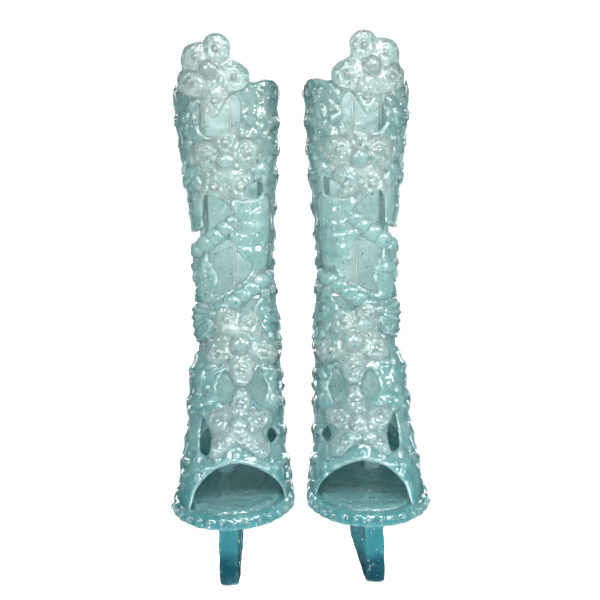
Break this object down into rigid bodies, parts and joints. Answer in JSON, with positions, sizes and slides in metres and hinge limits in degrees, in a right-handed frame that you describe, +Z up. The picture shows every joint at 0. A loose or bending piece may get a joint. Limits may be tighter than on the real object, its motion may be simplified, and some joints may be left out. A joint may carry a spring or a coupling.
{
  "type": "pair of doll boots",
  "caption": "Pair of translucent aqua, glittery, open-toe platform doll boots with starfish, strands, pearl rows and open heels.",
  "frame": {"origin": "the middle of the left boot's grip on the doll's calf, on that calf's axis", "axes": "+Z up along the doll's shins, +X across the pair from the left boot to the right one as seen from the front, toes towards -Y"},
  "size_m": [0.0384, 0.03, 0.0822],
  "materials": {
    "aqua_vinyl": "glossy translucent aqua vinyl with glitter",
    "teal_vinyl": "glossy translucent teal vinyl with glitter",
    "heel_vinyl": "glossy deep teal vinyl with glitter",
    "footbed_vinyl": "satin textured teal vinyl",
    "pearl_vinyl": "glossy moulded pearls"
  },
  "bodies": {
    "left_boot": {"left_top_star": "aqua_vinyl", "left_calf_star": "aqua_vinyl", "left_ankle_star": "aqua_vinyl", "left_instep_star": "aqua_vinyl", "left_upper_strand": "aqua_vinyl", "left_lower_strand": "aqua_vinyl", "left_fan_shell": "aqua_vinyl", "left_shell_panel": "aqua_vinyl", "left_outer_calf_panel": "aqua_vinyl", "left_inner_calf_panel": "aqua_vinyl", "left_inner_shin_band": "aqua_vinyl", "left_outer_shin_band": "aqua_vinyl", "left_toe_band": "teal_vinyl", "left_outer_foot_band": "teal_vinyl", "left_inner_foot_band": "teal_vinyl", "left_heel_counter": "aqua_vinyl", "left_outsole": "teal_vinyl", "left_footbed": "footbed_vinyl", "left_heel": "heel_vinyl", "left_outer_side_pearls": "pearl_vinyl", "left_inner_side_pearls": "pearl_vinyl", "left_rim_pearls": "teal_vinyl", "left_star_domes": "pearl_vinyl", "left_lobe_beads": "pearl_vinyl"},
    "left_outer_flap": {"left_rear_flap_outer": "aqua_vinyl"},
    "left_inner_flap": {"left_rear_flap_inner": "aqua_vinyl"},
    "right_boot": {"right_top_star": "aqua_vinyl", "right_calf_star": "aqua_vinyl", "right_ankle_star": "aqua_vinyl", "right_instep_star": "aqua_vinyl", "right_upper_strand": "aqua_vinyl", "right_lower_strand": "aqua_vinyl", "right_fan_shell": "aqua_vinyl", "right_shell_panel": "aqua_vinyl", "right_outer_calf_panel": "aqua_vinyl", "right_inner_calf_panel": "aqua_vinyl", "right_inner_shin_band": "aqua_vinyl", "right_outer_shin_band": "aqua_vinyl", "right_toe_band": "teal_vinyl", "right_outer_foot_band": "teal_vinyl", "right_inner_foot_band": "teal_vinyl", "right_heel_counter": "aqua_vinyl", "right_outsole": "teal_vinyl", "right_footbed": "footbed_vinyl", "right_heel": "heel_vinyl", "right_outer_side_pearls": "pearl_vinyl", "right_inner_side_pearls": "pearl_vinyl", "right_rim_pearls": "teal_vinyl", "right_star_domes": "pearl_vinyl", "right_lobe_beads": "pearl_vinyl"},
    "right_outer_flap": {"right_rear_flap_outer": "aqua_vinyl"},
    "right_inner_flap": {"right_rear_flap_inner": "aqua_vinyl"}
  },
  "joints": [
    {"name": "pair_spread", "type": "slide", "parent": "left_boot", "child": "right_boot", "axis": [1, 0, 0], "range_m": [0, 0.04]},
    {"name": "left_outer_flap_hinge", "type": "hinge", "parent": "left_boot", "child": "left_outer_flap", "pos_m": [-0.00378, 0.00561, -0.013], "axis": [0, 0.0831, 0.9965], "range_deg": [0, 40], "stiffness_Nm_per_rad": 0.00005},
    {"name": "left_inner_flap_hinge", "type": "hinge", "parent": "left_boot", "child": "left_inner_flap", "pos_m": [0.00468, 0.00543, -0.013], "axis": [0, -0.0466, -0.9989], "range_deg": [0, 40], "stiffness_Nm_per_rad": 0.00005},
    {"name": "right_outer_flap_hinge", "type": "hinge", "parent": "right_boot", "child": "right_outer_flap", "pos_m": [0.02312, 0.00561, -0.013], "axis": [0, -0.0831, -0.9965], "range_deg": [0, 40], "stiffness_Nm_per_rad": 0.00005},
    {"name": "right_inner_flap_hinge", "type": "hinge", "parent": "right_boot", "child": "right_inner_flap", "pos_m": [0.01468, 0.00543, -0.013], "axis": [0, 0.0466, 0.9989], "range_deg": [0, 40], "stiffness_Nm_per_rad": 0.00005}
  ],
  "couplings": [
    {"joint": "left_inner_flap_hinge", "follows": "left_outer_flap_hinge", "ratio": 1},
    {"joint": "right_inner_flap_hinge", "follows": "right_outer_flap_hinge", "ratio": 1}
  ]
}
